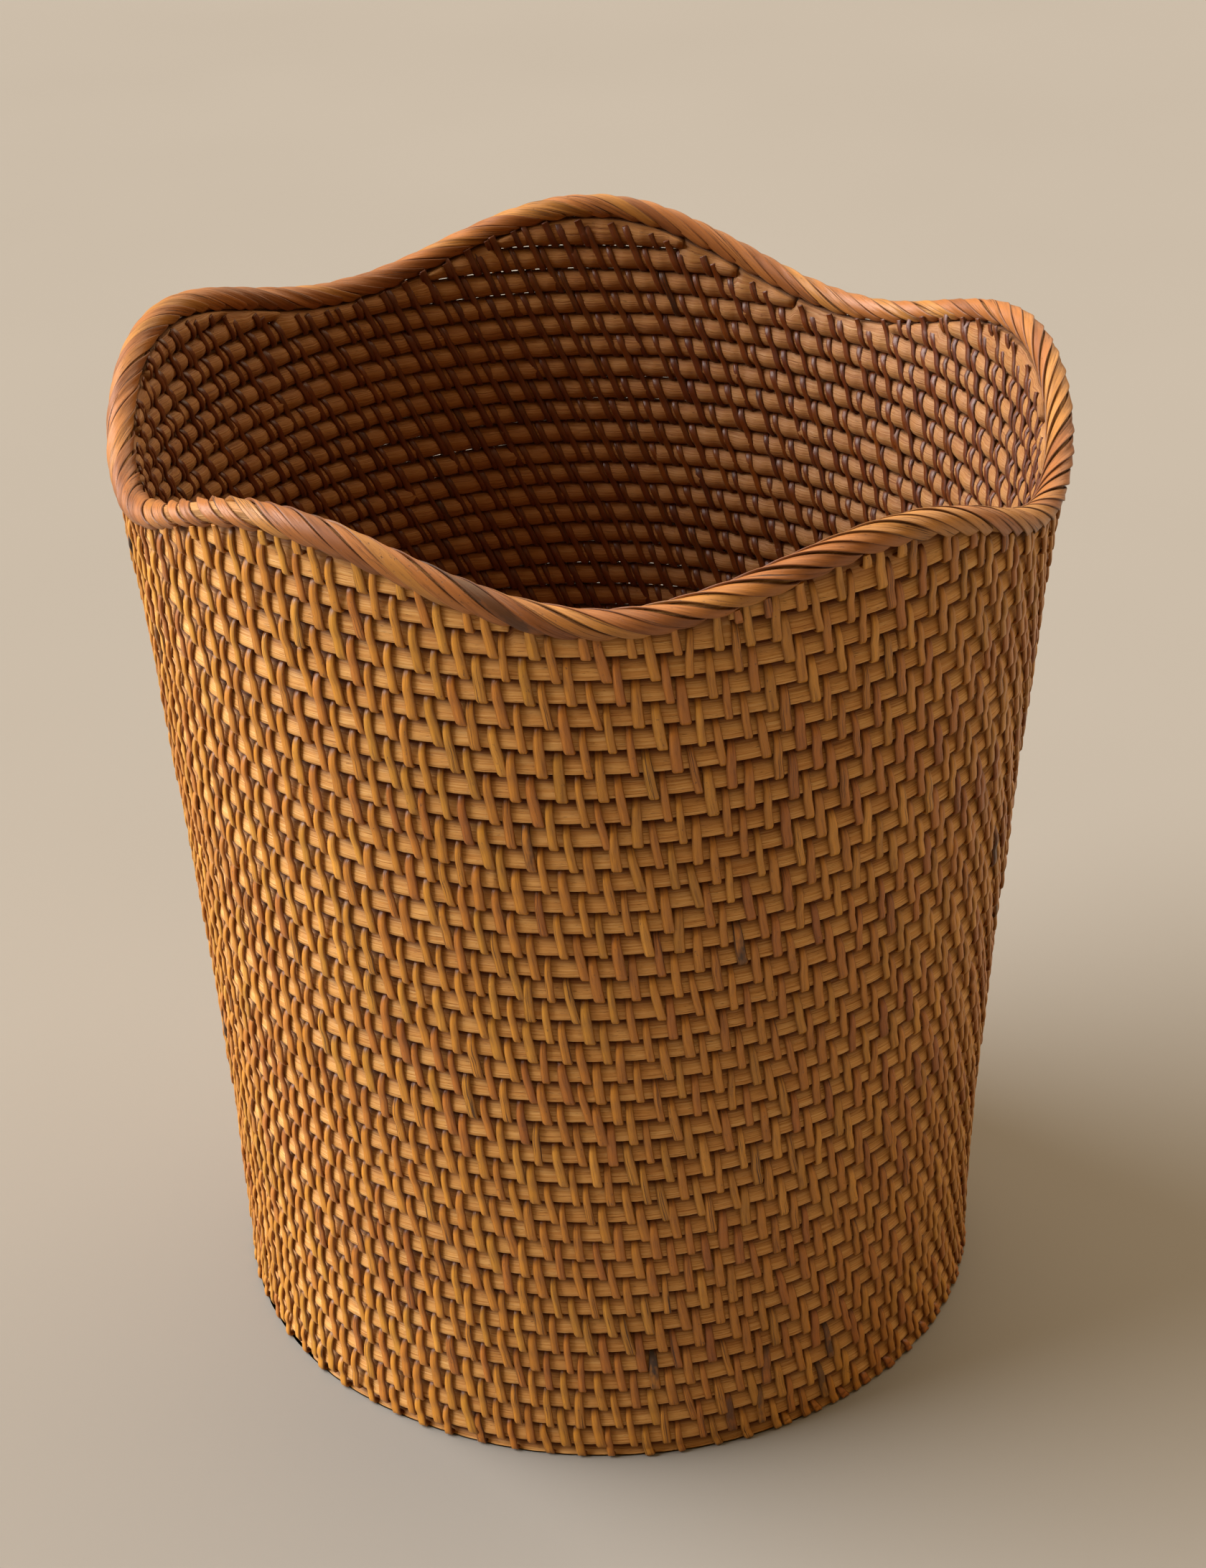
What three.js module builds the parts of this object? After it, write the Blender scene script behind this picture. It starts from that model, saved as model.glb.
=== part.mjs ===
// A coiled rattan wastebasket: a foundation cane wound from the middle of the base up to a
// scalloped mouth, bound by peel stitching on both faces, with a wrapped border on the rim.
// Millimetres, +Z up. The origin is the middle of the base, on the floor; the front is -Y.

import * as THREE from "three";

// Driving dimensions
const RIM_HEIGHT = 292.6; // mean height of the border's centre line
const BASE_RADIUS = 118.2; // outer radius where the wall meets the floor
const FLARE = 18; // how much the outer radius has grown at RIM_HEIGHT
const FLARE_POWER = 1.5; // the wall is nearly upright at the base and opens towards the rim
const HALF_WALL = 4; // half of the wall's thickness, stitching included
const PITCH = 7.27; // height of one course, and width of one turn of the base
const CANE = { thick: 4.6, wide: 6.5 };
const PEEL = 1.05; // thickness of a stitching layer
const GAP = 0.4; // clearance between neighbouring pieces

// The mouth's wave: five scallops, not quite evenly spaced, on a mouth that is a little uneven
const SCALLOPS = 5;
const SCALLOP_HEIGHT = 9.6;
const SCALLOP_TURN = 0.08; // radians of the wave
const SCALLOP_CROWDING = { much: 0.084, from: 0.75 };
const SADDLE = 3.1;
const THREE_WAY = { height: 1.05, turn: 1.12 };
const TILT = { front: 2.2, left: 3.7 };
const ROLL = { radius: 3.9, core: 2.5, shell: 0.9, outward: 1.4 };

// How the canes are divided
const WALL_TURNS = 36.6;
const WALL_CANES = 9;
const TOP_TURNS = 43; // no course lies higher than this
const SHORTEST_COURSE = 0.05; // in turns
const TRIMMED = 1.5; // least height of a cane that is trimmed to fit under the border
const SPLICE = 0.0006; // half of the gap between two canes' ends, in turns
const BASE_START = 10; // radius where the base coil starts, round the starting knot
const BASE_INSET = 0.9; // from the wall's foundation cane to the edge of the base
const BASE_CANES = 3;
const FOOT = 1.5; // height over which the outside stitching curls in at the floor
const FOOT_INSET = 0.6;

// How finely the curves are divided
const STEPS_PER_TURN = 30;
const BASE_STEPS = { first: 14, more: 16 }; // a turn, at the middle and at the edge of the base
const RING_STEPS = 60;

const COLOUR = { cane: 0xc6985c, peel: 0xa8723c, rim: 0x99602f };
const material = {
  cane: new THREE.MeshStandardMaterial({ color: COLOUR.cane, roughness: 0.75, metalness: 0 }),
  peel: new THREE.MeshStandardMaterial({ color: COLOUR.peel, roughness: 0.5, metalness: 0 }),
  rim: new THREE.MeshStandardMaterial({ color: COLOUR.rim, roughness: 0.45, metalness: 0 }),
};

// Angles are measured from the front (-Y) towards +X.
function polar(radius, angle, z) {
  return new THREE.Vector3(radius * Math.sin(angle), -radius * Math.cos(angle), z);
}

function wallMiddle(z) {
  const share = Math.max(z, 0) / RIM_HEIGHT;
  return BASE_RADIUS - HALF_WALL + FLARE * share ** FLARE_POWER;
}

function rimHeight(angle) {
  const crowding = SCALLOP_CROWDING.much * Math.sin(angle - SCALLOP_CROWDING.from);
  const wave = SCALLOP_HEIGHT * Math.cos(SCALLOPS * angle + SCALLOP_TURN + crowding);
  const uneven = SADDLE * Math.cos(2 * angle) + THREE_WAY.height * Math.cos(3 * angle + THREE_WAY.turn);
  const tilt = TILT.front * Math.cos(angle) - TILT.left * Math.sin(angle);
  return RIM_HEIGHT - wave + uneven + tilt;
}

function rimRadius(angle) {
  return wallMiddle(rimHeight(angle)) + ROLL.outward;
}

// The top of the wall, just under the border
function wallTop(angle) {
  return rimHeight(angle) - ROLL.radius - GAP;
}

// The wall's coil starts at the back and rises one course a turn.
function turnAngle(turn) {
  return Math.PI + 2 * Math.PI * turn;
}

function courseHeight(turn) {
  return PITCH * (turn + 0.5);
}

// Moves each vertex of a geometry to where place(x, y, z) says.
function bend(geometry, place) {
  const position = geometry.getAttribute("position");
  for (let i = 0; i < position.count; i++) {
    const p = place(position.getX(i), position.getY(i), position.getZ(i));
    position.setXYZ(i, p.x, p.y, p.z);
  }
  geometry.deleteAttribute("normal");
  geometry.deleteAttribute("uv");
  geometry.computeVertexNormals();
  return geometry;
}

// A cane of rectangular section, bent along a route. place(inward, up, share) gives the position
// of the point that lies inward and up from the cane's centre, at that share of its length.
function cane(inward, up, steps, place) {
  const section = new THREE.Shape([
    new THREE.Vector2(-inward / 2, -up / 2),
    new THREE.Vector2(inward / 2, -up / 2),
    new THREE.Vector2(inward / 2, up / 2),
    new THREE.Vector2(-inward / 2, up / 2),
  ]);
  const straight = new THREE.ExtrudeGeometry(section, { depth: 1, steps, bevelEnabled: false });
  return bend(straight, place);
}

// A closed ring turned from a profile, then moved so that it follows the wall or the mouth.
// place(outward, height, angle) gives the position of each profile point at each angle.
function ring(profile, place) {
  const middle = 100;
  const points = profile.map(([outward, height]) => new THREE.Vector2(middle + outward, height));
  points.push(points[0].clone());
  const turned = new THREE.LatheGeometry(points, RING_STEPS);
  return bend(turned, (x, y, z) => place(Math.hypot(x, z) - middle, y, Math.atan2(x, z)));
}

// A length of the wall's foundation cane, between two turn numbers, trimmed under the border
function wallCane(from, to) {
  const offset = HALF_WALL - PEEL - GAP - CANE.thick / 2;
  const steps = Math.ceil((to - from) * STEPS_PER_TURN) + 3;
  return cane(CANE.thick, CANE.wide, steps, (inward, up, share) => {
    const turn = from + (to - from) * share;
    const angle = turnAngle(turn);
    const z = Math.min(courseHeight(turn) + up, wallTop(angle) - GAP);
    return polar(wallMiddle(z) + offset - inward, angle, z);
  });
}

// The stretches above the last full turn that run under the scalloped border
function shortCourses() {
  const step = 1 / 360;
  const courses = [];
  let start = null;
  for (let turn = WALL_TURNS; turn < TOP_TURNS; turn += step) {
    const bottom = courseHeight(turn) - CANE.wide / 2;
    const fits = bottom + TRIMMED + GAP < wallTop(turnAngle(turn)) && turn > WALL_TURNS + step;
    if (fits && start === null) start = turn;
    if (!fits && start !== null) {
      if (turn - step - start > SHORTEST_COURSE) courses.push([start, turn - step]);
      start = null;
    }
  }
  return courses;
}

// The base's coil lies flat between its two stitching layers.
const BASE = { cane: PEEL + GAP, over: PEEL + 2 * GAP + CANE.thick };
const BASE_TOP = BASE.over + PEEL;
const BASE_EDGE = wallMiddle(0) - CANE.thick / 2 - BASE_INSET;
const BASE_TURNS = (BASE_EDGE - GAP - CANE.wide / 2 - BASE_START) / PITCH;

function baseCane(from, to) {
  const segments = BASE_STEPS.first + Math.round((BASE_STEPS.more * to) / BASE_TURNS);
  const steps = Math.round((to - from) * segments);
  return cane(CANE.wide, CANE.thick, steps, (inward, up, share) => {
    const turn = from + (to - from) * share;
    const angle = turnAngle(turn - BASE_TURNS);
    const z = BASE.cane + CANE.thick / 2 + up;
    return polar(BASE_START + PITCH * turn - inward, angle, z);
  });
}

function disc(radius, bottom, thickness, sides) {
  const shape = new THREE.CylinderGeometry(radius, radius, thickness, sides);
  shape.rotateX(Math.PI / 2);
  shape.translate(0, 0, bottom + thickness / 2);
  return shape;
}

// A stitching layer: a thin flared shell from the floor or the base up to the border.
// Its rows of vertices are spread over the height at each angle.
function stitching(outerFace, bottom, foot) {
  const rows = 6;
  const profile = [];
  for (let i = 0; i <= rows; i++) profile.push([outerFace, 1 - i / rows]);
  if (foot) profile.push([outerFace - FOOT_INSET, -foot]);
  for (let i = 0; i <= rows; i++) profile.push([outerFace - PEEL, i === 0 && foot ? -foot : i / rows]);
  return ring(profile.reverse(), (outward, height, angle) => {
    const span = wallTop(angle) - bottom;
    const z = height < 0 ? bottom + height : bottom + height * span;
    return polar(wallMiddle(z) + outward, angle, z);
  });
}

function alongRim(outward, height, angle) {
  return polar(rimRadius(angle) + outward, angle, rimHeight(angle) + height);
}

// The round cane that the border is wrapped on
function rimCore() {
  const sides = 6;
  const profile = [];
  for (let i = 0; i < sides; i++) {
    const a = (2 * Math.PI * i) / sides;
    profile.push([ROLL.core * Math.cos(a), ROLL.core * Math.sin(a)]);
  }
  return ring(profile, alongRim);
}

// The wrapping: a shell round the core, open underneath where it meets the wall
function rimWrap() {
  const sides = 7;
  const opening = Math.PI / 3;
  const profile = [];
  const arc = (radius, i) => {
    const a = -Math.PI / 2 + opening / 2 + ((2 * Math.PI - opening) * i) / sides;
    profile.push([radius * Math.cos(a), radius * Math.sin(a)]);
  };
  for (let i = 0; i <= sides; i++) arc(ROLL.radius, i);
  for (let i = sides; i >= 0; i--) arc(ROLL.radius - ROLL.shell, i);
  return ring(profile, alongRim);
}

const basket = new THREE.Group();

function add(name, geometry, look) {
  const mesh = new THREE.Mesh(geometry, look);
  mesh.name = name;
  basket.add(mesh);
}

function addCanes(prefix, count, turns, make) {
  for (let i = 0; i < count; i++) {
    const from = (turns * i) / count + SPLICE;
    const to = (turns * (i + 1)) / count - SPLICE;
    add(`${prefix}_${i + 1}`, make(from, to), material.cane);
  }
}

add("base_start_knot", disc(BASE_START - CANE.wide / 2 - GAP, BASE.cane, CANE.thick, 16), material.cane);
addCanes("base_cane", BASE_CANES, BASE_TURNS, baseCane);
add("base_stitching_under", disc(BASE_EDGE, 0, PEEL, RING_STEPS), material.peel);
add("base_stitching_over", disc(BASE_EDGE, BASE.over, PEEL, RING_STEPS), material.peel);

addCanes("wall_cane", WALL_CANES, WALL_TURNS, wallCane);
shortCourses().forEach(([from, to], i) => {
  const number = String(i + 1).padStart(2, "0");
  add(`short_course_${number}`, wallCane(from, to), material.cane);
});
add("wall_stitching_outside", stitching(HALF_WALL, FOOT, FOOT), material.peel);
add("wall_stitching_inside", stitching(PEEL - HALF_WALL, BASE_TOP + GAP, 0), material.peel);

add("rim_core", rimCore(), material.cane);
add("rim_wrapping", rimWrap(), material.rim);

export default basket;
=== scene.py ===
"""Looks for a coiled rattan wastebasket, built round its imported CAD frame.

The coil's canes, every stitch of the peel binding and every strip of the wrapped border are
swept meshes. They follow the same wall, courses and scalloped mouth as the CAD parts.
Lengths are in millimetres until a mesh is made. Angles run from the front (-Y) towards +X.
"""

import math

import bpy
import numpy as np
from mathutils import Matrix, Vector


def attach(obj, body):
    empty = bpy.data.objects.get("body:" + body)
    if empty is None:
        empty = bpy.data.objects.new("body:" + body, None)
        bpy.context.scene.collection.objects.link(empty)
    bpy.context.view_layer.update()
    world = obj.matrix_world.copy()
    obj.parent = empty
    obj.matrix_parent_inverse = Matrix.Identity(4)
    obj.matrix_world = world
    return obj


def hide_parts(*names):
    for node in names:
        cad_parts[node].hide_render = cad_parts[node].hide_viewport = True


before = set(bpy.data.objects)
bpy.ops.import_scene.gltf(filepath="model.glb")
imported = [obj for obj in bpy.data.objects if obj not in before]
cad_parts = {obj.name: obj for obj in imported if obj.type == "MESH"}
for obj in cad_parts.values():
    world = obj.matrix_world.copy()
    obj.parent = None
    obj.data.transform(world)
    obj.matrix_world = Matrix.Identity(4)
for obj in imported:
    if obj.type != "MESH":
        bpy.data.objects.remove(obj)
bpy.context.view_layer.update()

MM = 0.001
TURN = 2 * math.pi
FIBRE_SHIFT = 300  # so that strands of different tone show different fibres
rng = np.random.default_rng(11)

# Driving dimensions, as in the CAD source
RIM_HEIGHT = 292.6
BASE_RADIUS = 118.2
FLARE = 18
FLARE_POWER = 1.5
HALF_WALL = 4
PITCH = 7.27
SCALLOPS = 5
SCALLOP_HEIGHT = 9.6
SCALLOP_TURN = 0.08
CROWDING = 0.084
CROWDING_FROM = 0.75
SADDLE = 3.1
THREE_WAY = 1.05
THREE_WAY_TURN = 1.12
TILT_FRONT = 2.2
TILT_LEFT = 3.7
ROLL_RADIUS = 3.9
ROLL_OUTWARD = 1.4
GAP = 0.4
WALL_TURNS = 36.6
WALL_CANES = 9
TOP_TURNS = 43
SHORTEST_COURSE = 0.05
TRIMMED = 1.5
CANE_WIDE = 6.5
SPLICE = 0.0006
BASE_START = 10
BASE_EDGE = BASE_RADIUS - HALF_WALL - 2.3 - 0.9
BASE_CANES = 3
BASE_TURNS = (BASE_EDGE - GAP - CANE_WIDE / 2 - BASE_START) / PITCH
BASE_MIDDLE = 3.75  # height of the base canes' centre

TUCK_UP = 1.2  # how far canes and stitches run up inside the border

# How unevenly the coil is wound, in height and in radius: (size, waves along phi, offset)
SWAY = [(0.35, 2.12, 1), (0.24, 3.07, 2), (0.12, 7.9, 0)]
BULGE = [(0.18, 2.13, 0), (0.14, 5.9, 1), (0.09, 11.3, 2)]

# The foot: the first course is cut to a long taper, so that the basket stands level
TAPER = 0.93  # in turns
FOOT_SPREAD = 0.9
FOOT_HEIGHT = 12
CANE_CLEAR = 0.12  # least heights over the floor: a cane, a strand's middle and its surface
STRAND_CLEAR = 0.5
SURFACE_CLEAR = 0.1

# Stitching
STITCH_PITCH = 9.9  # along a course
STITCH_STEP = 4.2  # how far each course's stitches stand behind those of the course below
STITCH_WIDTH = 2.65
STITCH_THICK = 1.0
LEAN_OUT = 1.7  # how far a stitch leans along the course on the outside
LEAN_IN = 6.4
FIRST_STITCH = -0.62  # in turns
WALL_JITTER = 0.42
BASE_JITTER = 0.3
ADD_ABOVE = 1.42  # gaps, in pitches, above which a stitch is added and below which one is left out
DROP_BELOW = 0.62
EVEN_OUT = 0.25
LEAST_ROOM = 3.2  # between a stitch's lower groove and the border
LEAST_START = 4.2  # height of a stitch's upper end
FIRST_COURSE = 3.5  # a course lower than this is bound together with the one above

# Darker strands low down at the front
PATCH_HEIGHT = 24
PATCH_HALF_HEIGHT = 7
PATCH_ANGLE = 0.52
PATCH_HALF_ANGLE = 0.16

# Border strips
STRIP_PITCH = 8.0
STRIP_WIDTH = 3.2
STRIP_THICK = 0.9
STRIP_RUN = 44  # along the rim, from the inner end to the outer end
STRIP_STEPS = 44
STRIP_TILT = 0.30  # each strip's edge lies on its neighbour
STRIP_START = math.radians(218)  # round the roll, under its inner side
STRIP_END = math.radians(-70)
STEEP_AT = -0.95  # where the strips are wrapped more steeply, at the corner to the front left
STEEP_HALF = 0.30
STEEPER = 0.42


def polar(radius, angle, z):
    return np.stack([radius * np.sin(angle), -radius * np.cos(angle), z + 0 * angle], -1)


def wall_middle(z):
    share = np.maximum(z, 0) / RIM_HEIGHT
    return BASE_RADIUS - HALF_WALL + FLARE * share**FLARE_POWER


def rim_height(a):
    crowding = CROWDING * np.sin(a - CROWDING_FROM)
    wave = SCALLOP_HEIGHT * np.cos(SCALLOPS * a + SCALLOP_TURN + crowding)
    uneven = SADDLE * np.cos(2 * a) + THREE_WAY * np.cos(3 * a + THREE_WAY_TURN)
    return RIM_HEIGHT - wave + uneven + TILT_FRONT * np.cos(a) - TILT_LEFT * np.sin(a)


def rim_radius(a):
    return wall_middle(rim_height(a)) + ROLL_OUTWARD


def wall_top(a):
    return rim_height(a) - ROLL_RADIUS - GAP


def under_border(a):
    """Where canes and stitches disappear into the border."""
    return rim_height(a) - ROLL_RADIUS + TUCK_UP


# The coil is one long helix: phi is the angle along it, unwrapped. phi = 0 is at the back, where
# the tapered start ends and the first full course begins.
def helix_angle(phi):
    return math.pi + phi


def waves(phi, terms):
    return sum(size * np.sin(rate * phi + offset) for size, rate, offset in terms)


def course_height(phi):
    """Height of the coil's middle. The unevenness grows over the first course."""
    return PITCH * (phi / TURN + 0.5) + waves(phi, SWAY) * np.clip(phi / TURN, 0, 1)


def bulge(phi):
    return waves(phi, BULGE)


def groove_below(phi):
    """Height of the groove under a course, or of the floor."""
    return np.maximum((course_height(phi) + course_height(phi - TURN)) / 2, 0.2)


# ---------------------------------------------------------------------------------- meshes


def unit(v):
    return v / np.maximum(np.linalg.norm(v, axis=-1, keepdims=True), 1e-9)


def tangent(angle):
    """Level, round the basket, the way the angle runs."""
    return np.stack([np.cos(angle), np.sin(angle), 0 * angle], -1)


def sweep(path, side, section, wide, thick):
    """Closed tubes along several paths at once.

    path and side have shape (strands, steps, 3); section is (strands, points, 2), listed
    clockwise seen against the path, in units of wide (along side) and thick (away from it).
    """
    along = unit(np.gradient(path, axis=1))
    side = unit(side - (side * along).sum(-1, keepdims=True) * along)
    away = np.cross(side, along)
    w = section[:, None, :, 0, None] * wide[:, :, None, None]
    t = section[:, None, :, 1, None] * thick[:, :, None, None]
    return path[:, :, None] + side[:, :, None] * w + away[:, :, None] * t


def tube_faces(strands, steps, points):
    """Quads round each tube, and a polygon at each end."""
    ring = np.arange(points)
    nxt = (ring + 1) % points
    start = np.arange(steps - 1)[:, None] * points
    quads = np.stack([start + ring, start + nxt, start + points + nxt, start + points + ring], -1)
    quads = quads.reshape(-1, 4)
    base = np.arange(strands)[:, None] * steps * points
    quads = (base[:, :, None] + quads[None]).reshape(-1, 4)
    first = base + ring[::-1]
    last = base + (steps - 1) * points + ring
    return quads, np.concatenate([first, last])


def measure(verts):
    """Distance along each strand, and round its section, in millimetres."""
    step = np.linalg.norm(np.diff(verts.mean(2), axis=1), axis=-1)
    along = np.concatenate([np.zeros((len(step), 1)), np.cumsum(step, 1)], 1)
    around = np.linalg.norm(np.diff(verts, axis=2), axis=-1).mean(1)
    around = np.concatenate([np.zeros((len(around), 1)), np.cumsum(around, 1)], 1)
    return along, around


def make_piece(name, tubes, material, nodes):
    """One object from swept tubes, given as (verts, tone, mark, deep).

    tone is one number for each strand, from 0 to 1. mark is three: how much of a dark patch, of a
    seam and of specks it has. The last says how much painted shade, and darker strand edge, each
    point gets, in a shape that fits verts.
    """
    verts, tone, mark, painted_shade_and_edge_tone = tubes
    strands, steps, points, _ = verts.shape
    along, around = measure(verts)
    fibre = np.empty(verts.shape)
    fibre[..., 0] = along[:, :, None] + FIBRE_SHIFT * tone[:, None, None]
    fibre[..., 1] = around[:, None, :]
    fibre[..., 2] = tone[:, None, None]
    mark = np.broadcast_to(mark[:, None, None], verts.shape)
    painted_shade_and_edge_tone = np.broadcast_to(painted_shade_and_edge_tone, verts.shape[:3])
    quads, caps = tube_faces(strands, steps, points)
    sizes = np.concatenate([np.full(len(quads), 4), np.full(len(caps), points)])
    corners = np.concatenate([quads.ravel(), caps.ravel()])
    mesh = bpy.data.meshes.new(name)
    mesh.vertices.add(strands * steps * points)
    mesh.vertices.foreach_set("co", (verts * MM).astype(np.float32).ravel())
    mesh.loops.add(len(corners))
    mesh.loops.foreach_set("vertex_index", corners.astype(np.int32))
    mesh.polygons.add(len(sizes))
    mesh.polygons.foreach_set("loop_start", (np.cumsum(sizes) - sizes).astype(np.int32))
    mesh.update(calc_edges=True)
    mesh.polygons.foreach_set("use_smooth", np.ones(len(sizes), bool))
    for key, values in (("fibre", fibre), ("mark", mark)):
        attribute = mesh.attributes.new(key, "FLOAT_VECTOR", "POINT")
        attribute.data.foreach_set("vector", values.astype(np.float32).ravel())
    attribute = mesh.attributes.new("painted_shade_and_edge_tone", "FLOAT", "POINT")
    attribute.data.foreach_set("value", painted_shade_and_edge_tone.astype(np.float32).ravel())
    mesh.materials.append(material)
    piece = bpy.data.objects.new(name, mesh)
    bpy.context.scene.collection.objects.link(piece)
    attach(piece, "root")
    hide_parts(*nodes)


# ------------------------------------------------------------------------------- materials

# Painted shade: tint multiplied into the colour in grooves, under lips, on the inside and along
# strand edges
PAINTED_SHADE_AND_EDGE_TINT = (0.22, 0.112, 0.018)
SHEEN_TINT = (1.0, 0.74, 0.44, 1)
SHEEN_ROUGHNESS = 0.4
DARK_PORE = (0.22, 0.09, 0.028)
DARK_SPECK = (0.07, 0.03, 0.015)
DARK_SEAM = (0.05, 0.02, 0.012)
DARK_STRAND = (0.050, 0.022, 0.010)


class Nodes:
    """Short names for building a material's nodes."""

    def __init__(self, name):
        self.material = bpy.data.materials.new(name)
        self.material.use_nodes = True
        self.tree = self.material.node_tree
        self.shader = self.tree.nodes["Principled BSDF"]

    def link(self, a, b):
        self.tree.links.new(a, b)

    def feed(self, value, socket):
        if isinstance(value, bpy.types.NodeSocket):
            self.link(value, socket)
        else:
            socket.default_value = value

    def attribute(self, name):
        node = self.tree.nodes.new("ShaderNodeAttribute")
        node.attribute_name = name
        split = self.tree.nodes.new("ShaderNodeSeparateXYZ")
        self.link(node.outputs["Vector"], split.inputs[0])
        return split.outputs[0], split.outputs[1], split.outputs[2]

    def paint_shade_and_edge_tone(self, colour):
        """Painted shade: darker and browner in grooves, under lips and on the inside, and along
        strand edges.
        """
        node = self.tree.nodes.new("ShaderNodeAttribute")
        node.attribute_name = "painted_shade_and_edge_tone"
        return self.mix(node.outputs["Fac"], colour, self.mix(1.0, colour, PAINTED_SHADE_AND_EDGE_TINT, "MULTIPLY"))

    def math(self, operation, a, b):
        node = self.tree.nodes.new("ShaderNodeMath")
        node.operation = operation
        for value, socket in zip((a, b), node.inputs):
            self.feed(value, socket)
        return node.outputs[0]

    def vector(self, x, y, z):
        node = self.tree.nodes.new("ShaderNodeCombineXYZ")
        for value, socket in zip((x, y, z), node.inputs):
            self.feed(value, socket)
        return node.outputs[0]

    def noise(self, vector, scale=1.0, detail=3.0, roughness=0.55):
        node = self.tree.nodes.new("ShaderNodeTexNoise")
        self.feed(vector, node.inputs["Vector"])
        node.inputs["Scale"].default_value = scale
        node.inputs["Detail"].default_value = detail
        node.inputs["Roughness"].default_value = roughness
        return node.outputs["Fac"]

    def grain(self, fibre, along_scale, around_scale, detail=3.0, roughness=0.55):
        """Noise that is stretched along the fibre, with scales in cells a millimetre."""
        along, around, shift = fibre
        vector = self.vector(self.math("MULTIPLY", along, along_scale),
                             self.math("MULTIPLY", around, around_scale), shift)
        return self.noise(vector, detail=detail, roughness=roughness)

    def ramp(self, value, stops):
        node = self.tree.nodes.new("ShaderNodeValToRGB")
        self.feed(value, node.inputs[0])
        elements = node.color_ramp.elements
        while len(elements) < len(stops):
            elements.new(0.5)
        for element, (position, colour) in zip(elements, stops):
            element.position = position
            element.color = (*colour, 1)
        return node.outputs[0]

    def spread(self, value, low, high, to_low=0.0, to_high=1.0):
        node = self.tree.nodes.new("ShaderNodeMapRange")
        self.feed(value, node.inputs["Value"])
        node.inputs["From Min"].default_value = low
        node.inputs["From Max"].default_value = high
        node.inputs["To Min"].default_value = to_low
        node.inputs["To Max"].default_value = to_high
        return node.outputs["Result"]

    def mix(self, share, a, b, blend="MIX"):
        node = self.tree.nodes.new("ShaderNodeMix")
        node.data_type = "RGBA"
        node.blend_type = blend
        self.feed(share, node.inputs[0])
        for value, socket in ((a, node.inputs[6]), (b, node.inputs[7])):
            self.feed((*value, 1) if isinstance(value, tuple) else value, socket)
        return node.outputs[2]

    def bump(self, height, distance, strength):
        node = self.tree.nodes.new("ShaderNodeBump")
        self.feed(height, node.inputs["Height"])
        node.inputs["Distance"].default_value = distance
        node.inputs["Strength"].default_value = strength
        self.link(node.outputs["Normal"], self.shader.inputs["Normal"])

    def finish(self, specular, sheen):
        self.shader.inputs["Specular IOR Level"].default_value = specular
        self.shader.inputs["Sheen Weight"].default_value = sheen
        self.shader.inputs["Sheen Tint"].default_value = SHEEN_TINT
        self.shader.inputs["Sheen Roughness"].default_value = SHEEN_ROUGHNESS
        return self.material


def cane_material():
    """Split rattan core: matte and pale, with straight fibres and open pores."""
    n = Nodes("cane_core")
    along, around, tone = n.attribute("fibre")
    fibre = along, around, n.math("MULTIPLY", tone, 57.0)
    lines = n.grain(fibre, 0.06, 2.6, detail=4, roughness=0.6)
    pores = n.grain(fibre, 0.45, 5.0, detail=2)
    blotch = n.grain(fibre, 0.035, 0.12)
    colour = n.ramp(lines, [(0.30, (0.38, 0.145, 0.022)), (0.42, (0.62, 0.285, 0.062)),
                            (0.56, (0.72, 0.375, 0.105)), (0.72, (0.80, 0.470, 0.170))])
    warm = n.ramp(blotch, [(0.35, (0.84, 0.74, 0.62)), (0.6, (1.0, 1.0, 1.0))])
    colour = n.mix(0.75, colour, warm, "MULTIPLY")
    dark = n.spread(pores, 0.66, 0.74)
    colour = n.mix(n.math("MULTIPLY", dark, 0.55), colour, DARK_PORE)
    # painted shade in the grooves, on the inside and under the border, mixed into the base colour
    n.link(n.paint_shade_and_edge_tone(colour), n.shader.inputs["Base Color"])
    n.link(n.spread(lines, 0.3, 0.7, 0.72, 0.50), n.shader.inputs["Roughness"])
    n.bump(n.math("ADD", lines, n.math("MULTIPLY", dark, -0.5)), 0.00035, 0.9)
    return n.finish(specular=0.45, sheen=0.10)


def peel_material(name, stops, gloss, specular):
    """Rattan peel: a smooth, satin strip with faint streaks, dark seams and specks."""
    n = Nodes(name)
    along, around, tone = n.attribute("fibre")
    dark_strand, seams, specks = n.attribute("mark")
    fibre = along, around, n.math("MULTIPLY", tone, 91.0)
    streak = n.grain(fibre, 0.10, 1.5, detail=4, roughness=0.6)
    shade = n.ramp(streak, [(0.28, (0.50, 0.42, 0.36)), (0.45, (0.9, 0.88, 0.86)),
                            (0.6, (1.06, 1.04, 1.0)), (0.75, (1.25, 1.2, 1.1))])
    colour = n.mix(0.8, n.ramp(tone, stops), shade, "MULTIPLY")
    speck = n.spread(n.grain(fibre, 0.9, 1.7, roughness=0.7), 0.63, 0.70)
    colour = n.mix(n.math("MULTIPLY", speck, n.math("MULTIPLY", specks, 0.85)), colour, DARK_SPECK)
    split = n.math("MULTIPLY", n.spread(n.grain(fibre, 0.05, 3.4, detail=2), 0.60, 0.66), seams)
    colour = n.mix(split, colour, DARK_SEAM)
    patch = n.spread(n.grain(fibre, 0.12, 0.3), 0.35, 0.55)
    colour = n.mix(n.math("MULTIPLY", patch, dark_strand), colour, DARK_STRAND)
    # painted shade where strands lie low and on the inside, and darker strand edges, mixed into the
    # base colour
    n.link(n.paint_shade_and_edge_tone(colour), n.shader.inputs["Base Color"])
    n.link(n.spread(streak, 0.3, 0.7, gloss + 0.14, gloss), n.shader.inputs["Roughness"])
    height = n.math("ADD", streak, n.math("MULTIPLY", split, -1.2))
    n.bump(n.math("ADD", height, n.math("MULTIPLY", speck, -0.3)), 0.00022, 0.8)
    return n.finish(specular, sheen=0.06)


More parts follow.
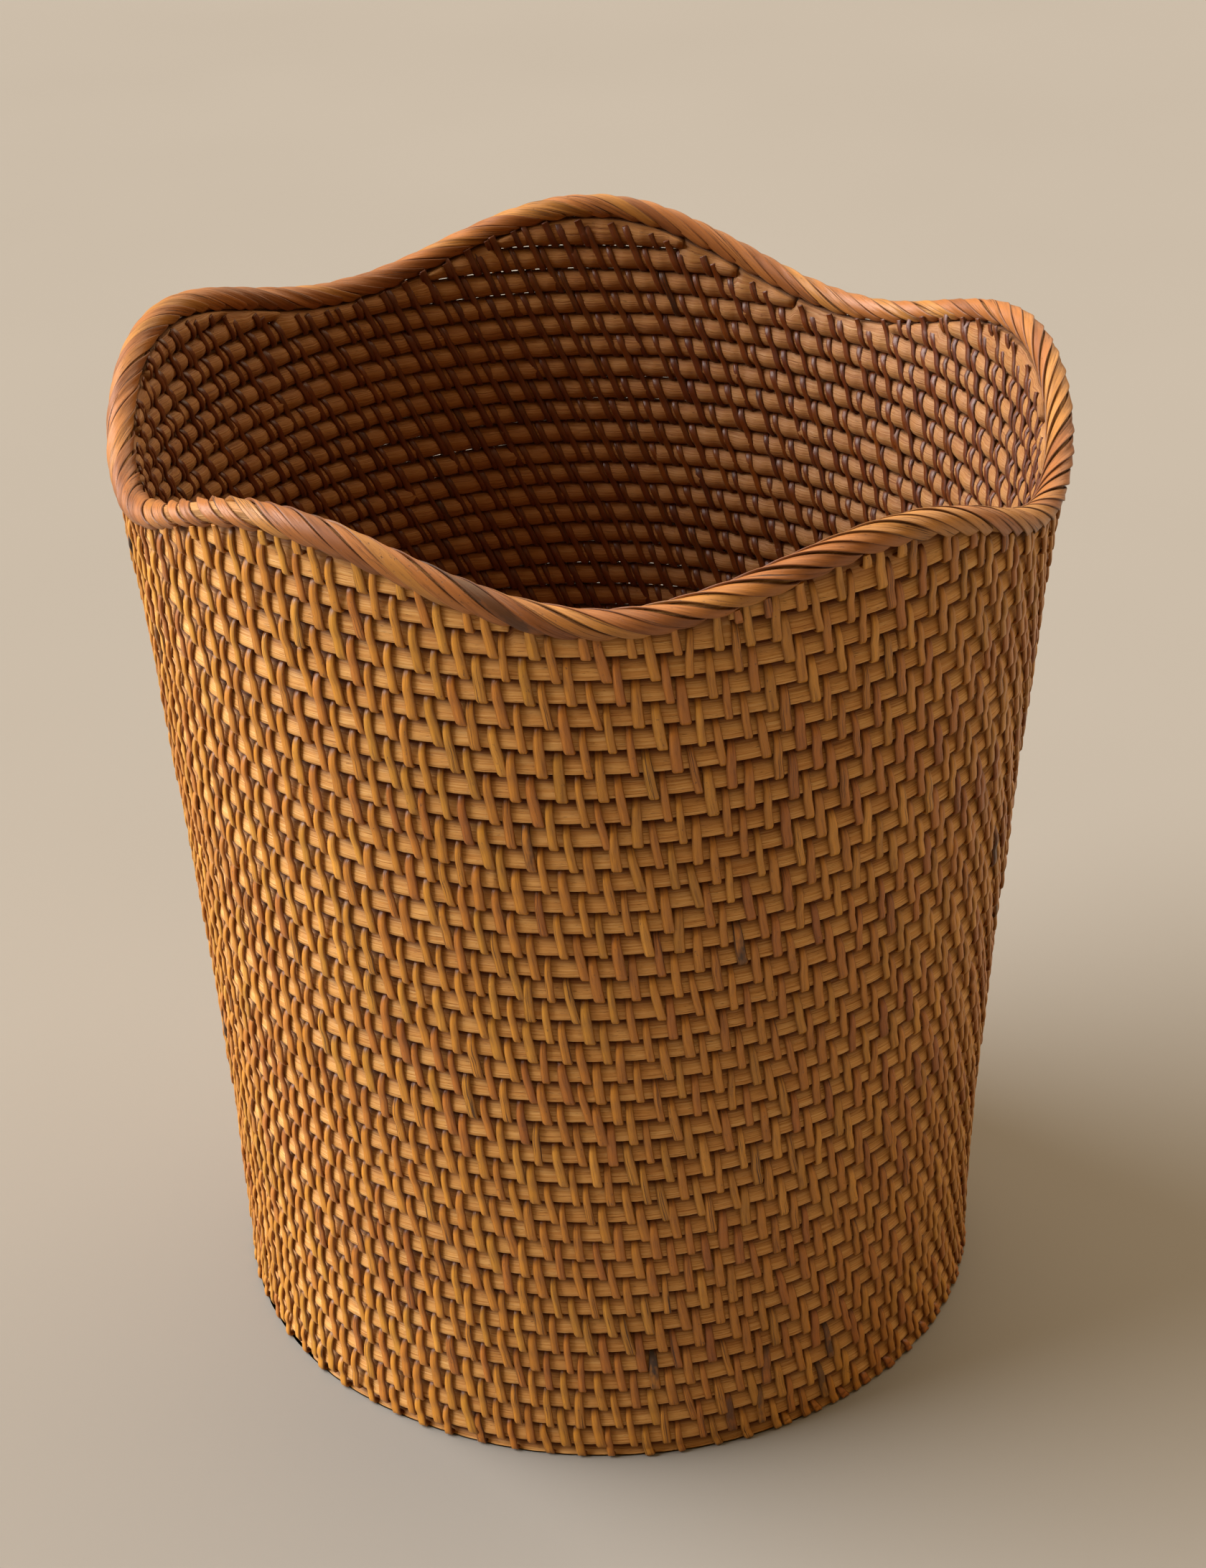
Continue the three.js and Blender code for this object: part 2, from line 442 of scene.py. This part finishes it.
CANE = cane_material()
PEEL = peel_material("peel_stitching", [
    (0.00, (0.33, 0.104, 0.012)), (0.18, (0.43, 0.149, 0.016)), (0.40, (0.46, 0.177, 0.016)),
    (0.62, (0.52, 0.214, 0.020)), (0.82, (0.45, 0.198, 0.016)), (1.00, (0.63, 0.285, 0.036)),
], gloss=0.33, specular=0.5)
BORDER = peel_material("border_peel", [
    (0.00, (0.22, 0.074, 0.020)), (0.30, (0.31, 0.110, 0.028)), (0.55, (0.36, 0.135, 0.033)),
    (0.80, (0.35, 0.148, 0.030)), (1.00, (0.43, 0.190, 0.045)),
], gloss=0.38, specular=0.35)

# ----------------------------------------------------------------- where the stitches go


def stitch_row(start, last_turn, radius_at, jitter):
    """Helix angles of the stitches. Each course's stand a little behind those one turn lower.

    A stitch is added where the coil has grown wider, and one is left out where it would crowd.
    """
    phis = list(np.arange(start, start + TURN, STITCH_PITCH / radius_at(start)))
    j = 0
    while phis[-1] < last_turn:
        radius = radius_at(phis[-1])
        pitch = STITCH_PITCH / radius
        wanted = phis[j] + TURN - STITCH_STEP / radius + rng.normal(0, jitter) / radius
        gap = wanted - phis[-1]
        if gap > ADD_ABOVE * pitch:
            phis.append(phis[-1] + gap / 2)
        elif gap > DROP_BELOW * pitch:
            phis.append(phis[-1] + gap + EVEN_OUT * (pitch - gap))
            j += 1
        else:
            j += 1
    return np.array(phis)


def wall_radius_at(phi):
    return wall_middle(PITCH * (phi / TURN + 0.5))


wall_phis = stitch_row(FIRST_STITCH * TURN, TURN * TOP_TURNS, wall_radius_at, WALL_JITTER)
room_left = under_border(helix_angle(wall_phis)) - groove_below(wall_phis - TURN)
wall_phis = wall_phis[(room_left > LEAST_ROOM) & (groove_below(wall_phis + TURN) > LEAST_START)]


def lean_out(t):
    """How far along the course a stitch has leant, t courses below its start, outside."""
    return LEAN_OUT * (np.clip(t, 0, 2) / 2) ** 1.5


def lean_in(t):
    """The same inside, where it leans back further to the start of the next stitch."""
    return LEAN_OUT + LEAN_IN * (1 - np.clip(t, 0, 2) / 2)


def crossings(lean):
    """Helix angles at which a stitch crosses a course, by its upper or by its lower half."""
    radius = wall_radius_at(wall_phis)
    upper = wall_phis + lean(0.5) / radius
    lower = wall_phis - TURN + lean(1.5) / radius
    return np.sort(np.concatenate([upper, lower]))


CROSSED_OUTSIDE = crossings(lean_out)
CROSSED_INSIDE = crossings(lean_in)


PINCHED = 2.4  # how near a stitch, in millimetres, the cane is held flat


def pillow(phi, crossed):
    """How freely a cane bulges: 0 under a stitch, 1 well away from one."""
    i = np.clip(np.searchsorted(crossed, phi), 1, len(crossed) - 1)
    nearest = np.minimum(np.abs(phi - crossed[i - 1]), np.abs(crossed[i] - phi))
    return 1 - np.exp(-((nearest * wall_radius_at(phi) / PINCHED) ** 2))


# ------------------------------------------------------------------- foundation of the wall

# Half-round cane: bulging outwards, with its lower lip standing proud of the course below
WALL_SECTION = np.array([
    (-0.4, 3.62), (0.5, 3.35), (1.25, 2.60), (2.00, 1.20), (2.60, -0.50), (2.98, -2.00),
    (2.95, -2.85), (2.30, -3.30), (0.6, -3.58), (-1.3, -3.35), (-2.05, -2.70), (-2.75, -1.40),
    (-2.95, 0.10), (-2.50, 1.70), (-1.5, 3.05)])
SECTION_REACH = 2.95
INSIDE_PAINTED_SHADE = 0.68  # painted shade: the inside is darkened more than the outside
# painted shade: darker towards the top and bottom of the section, in the grooves between courses,
# and all over the inside
WALL_PAINTED_SHADE = np.clip((2.35 - np.abs(WALL_SECTION[:, 0])) / 1.1, 0, 1)
WALL_PAINTED_SHADE = np.maximum(WALL_PAINTED_SHADE, INSIDE_PAINTED_SHADE * (WALL_SECTION[:, 0] < 0))
BASE_SECTION = np.array([
    (1.6, 2.55), (2.9, 2.05), (3.45, 1.0), (3.5, -0.9), (3.0, -2.0), (1.8, -2.55), (-1.8, -2.55),
    (-3.0, -2.0), (-3.5, -0.9), (-3.45, 1.0), (-2.9, 2.05), (-1.6, 2.55)])
CANE_STEP = 1.9  # length of one step of the wall's swept canes
MEAN_RADIUS = 125
BASE_STEP = 3.2


def cane_tube(radius, angle, z, section):
    """A cane round the basket, with its section upright all the way."""
    ones = np.ones((1, len(angle)))
    return sweep(polar(radius, angle, z)[None], polar(1, angle, 0)[None], section[None], ones, ones)


def short_courses():
    """The stretches above the last full turn, as the CAD source divides them."""
    step = 1 / 360
    courses, start, turn = [], None, WALL_TURNS
    while turn < TOP_TURNS:
        bottom = PITCH * (turn + 0.5) - CANE_WIDE / 2
        room = wall_top(helix_angle(TURN * turn))
        fits = bottom + TRIMMED + GAP < room and turn > WALL_TURNS + step
        if fits and start is None:
            start = turn
        if not fits and start is not None:
            if turn - step - start > SHORTEST_COURSE:
                courses.append((start, turn - step))
            start = None
        turn += step
    return courses


COURSES = short_courses()
COURSE_LAP = 0.004  # in turns
COURSE_TUCK = 0.03  # how far, as an angle, a short course runs on past its trimmed ends
PILLOW_OUT = 0.25  # how much further out a cane stands between stitches than under them
PILLOW_IN = 1.1
PILLOW_MEAN = 0.12
MOST_LIFT = 4.0  # how far a cane is packed out to meet the border
CANE_TOP = 3.3  # height of the section over its middle


def uncovered(phi):
    """1 where there is no course above this one, so that it reaches up to the border."""
    turn = phi / TURN + 1
    covered = turn < WALL_TURNS
    for low, high in COURSES:
        covered |= (turn > low - COURSE_LAP) & (turn < high + COURSE_LAP)
    return ~covered


def foot(z):
    """The wall's outer face spreads a little where it stands on the floor."""
    return FOOT_SPREAD * np.exp(-np.maximum(z, 0) / FOOT_HEIGHT)


def wall_cane(start, end):
    """The cane from one helix angle to another, as make_piece takes it."""
    steps = max(8, int((end - start) * MEAN_RADIUS / CANE_STEP))
    phi = np.linspace(start, end, steps)
    z = course_height(phi)
    verts = cane_tube(wall_middle(z) + bulge(phi), helix_angle(phi), z, WALL_SECTION)
    angle = helix_angle(phi)[None, :, None]
    room = under_border(angle)
    # the upper half is packed out where it is the last course under the border
    lift = np.clip(room - (z + CANE_TOP)[None, :, None], 0, MOST_LIFT)
    lift = lift * uncovered(phi)[None, :, None]
    height = verts[..., 2] + lift * np.clip(WALL_SECTION[:, 1] / 3.2, 0, 1)
    height = np.clip(height, CANE_CLEAR, room)
    # each point leans with the wall's flare, and bulges between the stitches
    out = np.where(WALL_SECTION[:, 0] > 0, PILLOW_OUT * pillow(phi, CROSSED_OUTSIDE)[:, None],
                   PILLOW_IN * pillow(phi, CROSSED_INSIDE)[:, None])
    shift = wall_middle(height) - wall_middle(z)[None, :, None]
    shift = shift + foot(height) * np.clip(WALL_SECTION[:, 0], 0, 1)
    shift = shift + (out - PILLOW_MEAN) * WALL_SECTION[:, 0] / SECTION_REACH
    verts[..., 0] += shift * np.sin(angle)
    verts[..., 1] -= shift * np.cos(angle)
    verts[..., 2] = height
    return verts, rng.random(1), plain(1), WALL_PAINTED_SHADE


def plain(count):
    """Marks for strands with no dark streak, seam or speck."""
    return np.zeros((count, 3))


for i in range(WALL_CANES):
    low = TURN * (WALL_TURNS * i / WALL_CANES + SPLICE if i else -TAPER)
    high = TURN * (WALL_TURNS * (i + 1) / WALL_CANES - SPLICE)
    node = f"wall_cane_{i + 1}"
    make_piece(f"{node}_core", wall_cane(low, high), CANE, [node])

for i, (low, high) in enumerate(COURSES):
    node = f"short_course_{i + 1:02d}"
    tube = wall_cane(TURN * low - COURSE_TUCK, TURN * high + COURSE_TUCK)
    make_piece(f"{node}_core", tube, CANE, [node])

# ------------------------------------------------------------------------------- stitching

# Round two courses, first down the outside and then up the inside: how far down, in courses from
# the upper groove, and how far out from the wall's middle the strand lies
OUT_DOWN = np.array([-0.03, 0.015, 0.07, 0.17, 0.34, 0.56, 0.80, 1.00,
                     1.20, 1.44, 1.68, 1.86, 1.965, 2.01, 2.02])
OUT_REACH = np.array([0.40, 1.45, 2.10, 2.60, 3.10, 3.45, 3.60, 3.45,
                      3.25, 3.45, 3.62, 3.60, 3.20, 2.10, 0.50])
IN_DOWN = np.array([2.01, 1.93, 1.72, 1.42, 1.10, 0.95, 0.55, 0.24, 0.05, -0.02])
IN_REACH = np.array([-1.5, -2.45, -3.00, -3.05, -2.60, -2.60, -3.05, -2.80, -1.7, -0.5])
WALL_DOWN = np.concatenate([OUT_DOWN, IN_DOWN])[None]
OUTSIDE = np.concatenate([np.ones(len(OUT_DOWN)), np.zeros(len(IN_DOWN))])[None]
PATCH_STEP = 6  # the step of a stitch at which its place in the dark patch is taken
IN_WIDE = 0.76
IN_THICK = 0.75
TURN_IN = 1.8  # how far down it starts to turn in, whether or not its upper end is trimmed

# The same across two turns of the base, from the outer groove inwards, and up from its middle
BASE_ACROSS = np.array([[-0.03, 0.03, 0.14, 0.35, 0.62, 0.90, 1.15, 1.45, 1.75, 1.92, 2.00, 2.04]])
BASE_REACH = np.array([[0.6, 2.1, 2.72, 2.95, 2.98, 2.90, 2.90, 2.98, 2.9, 2.6, 1.8, 0.6]])

# The strand: flat beneath, with rounded edges. The edges are darkened, partly as a peel strip's own
# darker edge, partly as painted shade where the strand meets what lies under it.
SECTION = np.array([(-1, 0.0), (-0.97, 0.28), (-0.84, 0.42), (-0.42, 0.52), (0, 0.55), (0.42, 0.52),
                    (0.84, 0.42), (0.97, 0.28), (1, 0.0), (0.7, -0.40), (-0.7, -0.40)])
CROWN = 4  # the point on top
# darker edges: partly the strand's own edge tone, partly painted shade
EDGE_TONE_AND_PAINTED_SHADE = 0.5 * (np.abs(SECTION[:, 0]) > 0.96)


def strand_sections(count, split):
    """The D-shaped section of each strand. A split strand has a groove down its middle."""
    section = np.repeat(SECTION[None], count, 0)
    section[:, CROWN, 1] -= 0.50 * split
    section[:, CROWN, 0] += 0.3 * split * rng.uniform(-1, 1, count)
    return section


def strand_marks(count, dark, seams, specks):
    """Marks for strands, of which the given shares are dark, have a seam, or are specked."""
    mark = np.zeros((count, 3))
    mark[:, 0] = (rng.random(count) < dark) * rng.uniform(0.6, 1, count)
    mark[:, 1] = (rng.random(count) < seams) * rng.uniform(0.6, 1, count)
    mark[:, 2] = (rng.random(count) < specks) * rng.uniform(0.5, 1, count)
    return mark


def neighbouring(count, blend=0.5):
    """Tones from 0 to 1 in which neighbours are somewhat alike, as cut from one strand."""
    tone = rng.random(count)
    for i in range(1, count):
        tone[i] = blend * tone[i - 1] + (1 - blend) * tone[i]
    return np.clip(0.5 + (tone - 0.5) * 1.5, 0, 1)


def wall_stitches(phi):
    """Loops round the wall that start at helix angles phi, under the course above."""
    count = len(phi)
    phi = phi[:, None]
    angle = helix_angle(phi)
    top = groove_below(phi + TURN)
    middle = groove_below(phi)
    bottom = groove_below(phi - TURN)
    # down runs from the upper groove, or from the border where that trims the stitch
    trimmed = np.clip((top - under_border(angle)) / PITCH, 0, 1.5)
    down = trimmed + WALL_DOWN * (2 - trimmed) / 2
    z = top + (middle - top) * np.clip(down, None, 1)
    z = z + (bottom - middle) * np.clip(down - 1, 0, None)
    z = np.where(middle - bottom < FIRST_COURSE, top + (bottom - top) * down / 2, z)
    out = (np.interp(down, OUT_DOWN, OUT_REACH) * OUTSIDE
           + np.interp(down, IN_DOWN[::-1], IN_REACH[::-1]) * (1 - OUTSIDE))
    turned_in = (OUTSIDE > 0) & (WALL_DOWN > TURN_IN)
    out = np.where(turned_in, np.interp(WALL_DOWN, OUT_DOWN, OUT_REACH), out)
    radius = wall_middle(z)
    slack = rng.uniform(-0.10, 0.16, (count, 1))
    out = out + np.sign(out) * np.clip(np.abs(out) - 2.6, 0, 1) * slack * 2
    sideways = rng.normal(0, 0.6, (count, 1))
    drift = np.where(OUTSIDE > 0, lean_out(down) + sideways * down / 2, lean_in(down) + sideways)
    a = angle + drift / radius
    z = np.clip(z, STRAND_CLEAR, None)
    path = polar(radius + out + bulge(phi) * 0.7 + foot(z) * (out > 0), a, z)
    width = STITCH_WIDTH / 2 * rng.uniform(0.80, 1.18, (count, 1))
    widening = 0.72 + 0.30 * np.sin(math.pi / 2 * np.clip(WALL_DOWN / 1.3, 0, 1))
    wide = width * np.where(OUTSIDE > 0, widening, IN_WIDE)
    thick = STITCH_THICK * rng.uniform(0.85, 1.1, (count, 1)) * np.where(OUTSIDE > 0, 1, IN_THICK)
    up_off = (z[:, PATCH_STEP] - PATCH_HEIGHT) / PATCH_HALF_HEIGHT
    along_off = (angle[:, 0] % TURN - PATCH_ANGLE) / PATCH_HALF_ANGLE
    mark = strand_marks(count, 0.008 + 0.75 * np.exp(-(up_off**2 + along_off**2)), 0.25, 0.45)
    split = (mark[:, 1] > 0) * rng.uniform(0.2, 1, count)
    verts = sweep(path, tangent(a), strand_sections(count, split), wide, thick)
    verts[..., 2] = np.maximum(verts[..., 2], SURFACE_CLEAR)
    # painted shade: darker where the strand lies close in to the wall, at its ends under the lips,
    # and all over on the inside
    painted_shade_and_edge_tone = np.maximum(np.clip(3.0 - np.abs(out), 0, 1), out < 0)[:, :, None]
    return verts, neighbouring(count), mark, np.maximum(painted_shade_and_edge_tone, EDGE_TONE_AND_PAINTED_SHADE)


bands = np.minimum((wall_phis / TURN / WALL_TURNS * WALL_CANES).astype(int), WALL_CANES)
for band in range(WALL_CANES + 1):
    make_piece(f"wall_stitches_{band + 1:02d}", wall_stitches(wall_phis[bands == band]), PEEL,
               ["wall_stitching_outside", "wall_stitching_inside"])

# ------------------------------------------------------------------------------------ base


def base_radius_at(phi):
    return BASE_START + PITCH * phi / TURN


def base_angle(phi):
    return helix_angle(phi - TURN * BASE_TURNS)


def base_cane(start, end, steps):
    """The cane from one helix angle to another. The last one is cut to a taper by the wall."""
    phi = np.linspace(start, end, steps)
    verts = cane_tube(base_radius_at(phi), base_angle(phi), BASE_MIDDLE, BASE_SECTION)
    reach = np.hypot(verts[..., 0], verts[..., 1])
    verts[..., :2] *= np.minimum(1, BASE_EDGE / reach)[..., None]
    return verts, rng.random(1), plain(1), 0


for i in range(BASE_CANES):
    low = TURN * (BASE_TURNS * i / BASE_CANES + SPLICE)
    high = TURN * (BASE_TURNS * (i + 1) / BASE_CANES - SPLICE)
    high = high if i < BASE_CANES - 1 else TURN * (BASE_TURNS + TAPER)
    steps = int((high - low) * (base_radius_at(high) + base_radius_at(low)) / 2 / BASE_STEP)
    node = f"base_cane_{i + 1}"
    make_piece(f"{node}_core", base_cane(low, high, steps), CANE, [node])

# The knot that the base starts from: the cane's end, curled up tightly
make_piece("base_knot_core", base_cane(-0.95 * TURN, -TURN * SPLICE, 60), CANE,
           ["base_start_knot"])


def base_stitches(phi, over):
    """Radial stitches across two turns of the base, on its upper or its lower face."""
    count = len(phi)
    phi = phi[:, None]
    groove = base_radius_at(phi) + PITCH / 2
    inner = groove - PITCH * np.minimum(2, (groove - 2) / PITCH)
    outer = np.minimum(groove, BASE_EDGE - 0.2)
    lean = 2.0 * (np.clip(BASE_ACROSS, 0, 2) / 2) ** 1.4 + (0 if over else 1.6)
    a = base_angle(phi) + lean / np.maximum(base_radius_at(phi), 14)
    way = 1 if over else -1
    path = polar(outer + (inner - outer) * BASE_ACROSS / 2, a, BASE_MIDDLE + way * BASE_REACH)
    ones = np.ones_like(BASE_ACROSS)
    wide = STITCH_WIDTH / 2 * rng.uniform(0.86, 1.12, (count, 1)) * ones
    thick = STITCH_THICK * rng.uniform(0.85, 1.0, (count, 1)) * ones
    mark = strand_marks(count, 0.02, 0.2, 0.3)
    section = strand_sections(count, (mark[:, 1] > 0) * 0.7)
    verts = sweep(path, way * tangent(a), section, wide, thick)
    # painted shade: darker where the stitch dips into the groove at its ends
    painted_shade_and_edge_tone = np.clip(2.6 - BASE_REACH, 0, 1)[:, :, None]
    return verts, neighbouring(count), mark, np.maximum(painted_shade_and_edge_tone, EDGE_TONE_AND_PAINTED_SHADE)


base_phis = stitch_row(0.3, TURN * (BASE_TURNS + TAPER), base_radius_at, BASE_JITTER)
for face in ("over", "under"):
    make_piece(f"base_stitches_{face}", base_stitches(base_phis, face == "over"), PEEL,
               [f"base_stitching_{face}"])

# ---------------------------------------------------------------------------------- border


def rim_point(a, psi, reach):
    """A point of the border roll: psi goes round it, from outwards over the top to inwards."""
    return polar(rim_radius(a) + reach * np.cos(psi), a, rim_height(a) + reach * np.sin(psi))


MEAN_RIM_RADIUS = float(rim_radius(np.linspace(0, TURN, 60)).mean())


def border_strips(count):
    """Flat strips laid side by side, each from inside the rim over the top and down outside."""
    s = np.linspace(0, 1, STRIP_STEPS)[None]
    start = TURN * (np.arange(count) + rng.normal(0, 0.07, count))[:, None] / count
    from_corner = np.angle(np.exp(1j * (start - STEEP_AT)))
    run = STRIP_RUN * (1 - STEEPER * np.exp(-((from_corner / STEEP_HALF) ** 2)))
    run = run * rng.uniform(0.93, 1.07, (count, 1))
    a = start + run / MEAN_RIM_RADIUS * (s - 0.5)
    high = STRIP_START + rng.normal(0, 0.06, (count, 1))
    low = STRIP_END + rng.normal(0, 0.06, (count, 1))
    psi = high + (low - high) * (0.5 * s + 0.5 * s**1.15)
    tuck = np.clip((s - 0.93) / 0.07, 0, 1) + np.clip((0.06 - s) / 0.06, 0, 1)
    reach = ROLL_RADIUS - 0.55 + rng.uniform(-0.08, 0.10, (count, 1)) - 0.5 * tuck
    path = rim_point(a, psi, reach)
    out = unit(rim_point(a, psi, reach + 1) - path)
    side = np.cross(unit(np.gradient(path, axis=1)), out)
    tip = np.clip((1 - s) / 0.07, 0.02, 1) ** 0.55 * np.clip(s / 0.05, 0.05, 1) ** 0.5
    wide = STRIP_WIDTH / 2 * rng.uniform(0.84, 1.14, (count, 1)) * tip
    thick = STRIP_THICK * (0.55 + 0.45 * tip) * rng.uniform(0.9, 1.1, (count, 1))
    mark = strand_marks(count, 0.025, 0.35, 0.6)
    section = strand_sections(count, (mark[:, 1] > 0) * rng.uniform(0, 0.8, count))
    section[:, :, 1] += STRIP_TILT * section[:, :, 0]
    verts = sweep(path, side, section, wide, thick)
    # strip edges darker: partly edge tone, partly painted shade where the strips overlap
    return verts, neighbouring(count, 0.35), mark, 1.4 * EDGE_TONE_AND_PAINTED_SHADE


make_piece("border_strips", border_strips(round(TURN * MEAN_RIM_RADIUS / STRIP_PITCH)), BORDER,
           ["rim_wrapping"])

angle = np.linspace(0, TURN * 0.9995, 300)
round_section = np.array([(math.cos(-TURN * k / 12), math.sin(-TURN * k / 12)) for k in range(12)])
core = cane_tube(rim_radius(angle), angle, rim_height(angle), round_section * (ROLL_RADIUS - 1.05))
# the core under the strips gets half the painted shade throughout
make_piece("rim_core_cane", (core, rng.random(1), plain(1), 0.5), CANE,
           ["rim_core"])

# ---------------------------------------------------------------------------- stage, lights


def floor_material():
    n = Nodes("pale_floor")
    place = n.tree.nodes.new("ShaderNodeTexCoord").outputs["Object"]
    cloud = n.noise(place, 1.6)
    n.link(n.ramp(cloud, [(0.3, (0.250, 0.234, 0.211)), (0.7, (0.266, 0.250, 0.227))]),
           n.shader.inputs["Base Color"])
    n.shader.inputs["Roughness"].default_value = 0.9
    n.shader.inputs["Specular IOR Level"].default_value = 0.1
    n.bump(n.noise(place, 220), 0.0001, 0.3)
    return n.material


FLOOR_RADIUS = 9  # in metres, as all of the stage is
FLOOR_SIDES = 96
FLOOR_HEIGHT = -0.0002
edge = [TURN * k / FLOOR_SIDES for k in range(FLOOR_SIDES)]
corners = [(FLOOR_RADIUS * math.cos(a), FLOOR_RADIUS * math.sin(a), FLOOR_HEIGHT) for a in edge]
floor_mesh = bpy.data.meshes.new("floor")
floor_mesh.from_pydata(corners, [], [tuple(range(FLOOR_SIDES))])
floor_mesh.materials.append(floor_material())
floor = bpy.data.objects.new("floor", floor_mesh)
bpy.context.scene.collection.objects.link(floor)


def soft_sun(name, direction, spread, strength, colour):
    """An even, soft light from the given direction, spread over so many degrees."""
    data = bpy.data.lights.new(name, "SUN")
    data.angle = math.radians(spread)
    data.energy = strength
    data.color = colour
    light = bpy.data.objects.new(name, data)
    light.location = direction
    light.rotation_mode = "QUATERNION"
    light.rotation_quaternion = Vector(direction).to_track_quat("Z", "Y")
    bpy.context.scene.collection.objects.link(light)


soft_sun("key_left", (-1.0, 0.14, 0.68), 58, 7.6, (1.0, 0.98, 0.96))
soft_sun("fill_behind", (0.35, 0.62, 0.90), 80, 2.7, (1.0, 0.82, 0.59))

world = bpy.data.worlds.new("studio")
world.use_nodes = True
sky = world.node_tree.nodes["Background"]
sky.inputs["Color"].default_value = (1.0, 0.66, 0.30, 1)
sky.inputs["Strength"].default_value = 0.27
bpy.context.scene.world = world
bpy.context.scene.view_settings.view_transform = "Standard"

# ---------------------------------------------------------------------------------- camera

PITCH_DOWN = 0.5451
ROLL = -0.0221
DISTANCE = 0.9154
TARGET = Vector((0, 0, 0.1463))
forward = Vector((0, math.cos(PITCH_DOWN), -math.sin(PITCH_DOWN)))
level_up = Vector((0, math.sin(PITCH_DOWN), math.cos(PITCH_DOWN)))
right = Vector((1, 0, 0)) * math.cos(ROLL) + level_up * math.sin(ROLL)
up = level_up * math.cos(ROLL) - Vector((1, 0, 0)) * math.sin(ROLL)
lens = bpy.data.cameras.new("camera")
lens.sensor_width = 36
lens.lens = 67.72
lens.shift_x = 0.00165
lens.shift_y = 0.0347
lens.clip_start = 0.05
lens.clip_end = 60
camera = bpy.data.objects.new("camera", lens)
place = TARGET - forward * DISTANCE
camera.matrix_world = Matrix((
    (right.x, up.x, -forward.x, place.x),
    (right.y, up.y, -forward.y, place.y),
    (right.z, up.z, -forward.z, place.z),
    (0, 0, 0, 1)))
bpy.context.scene.collection.objects.link(camera)
bpy.context.scene.camera = camera
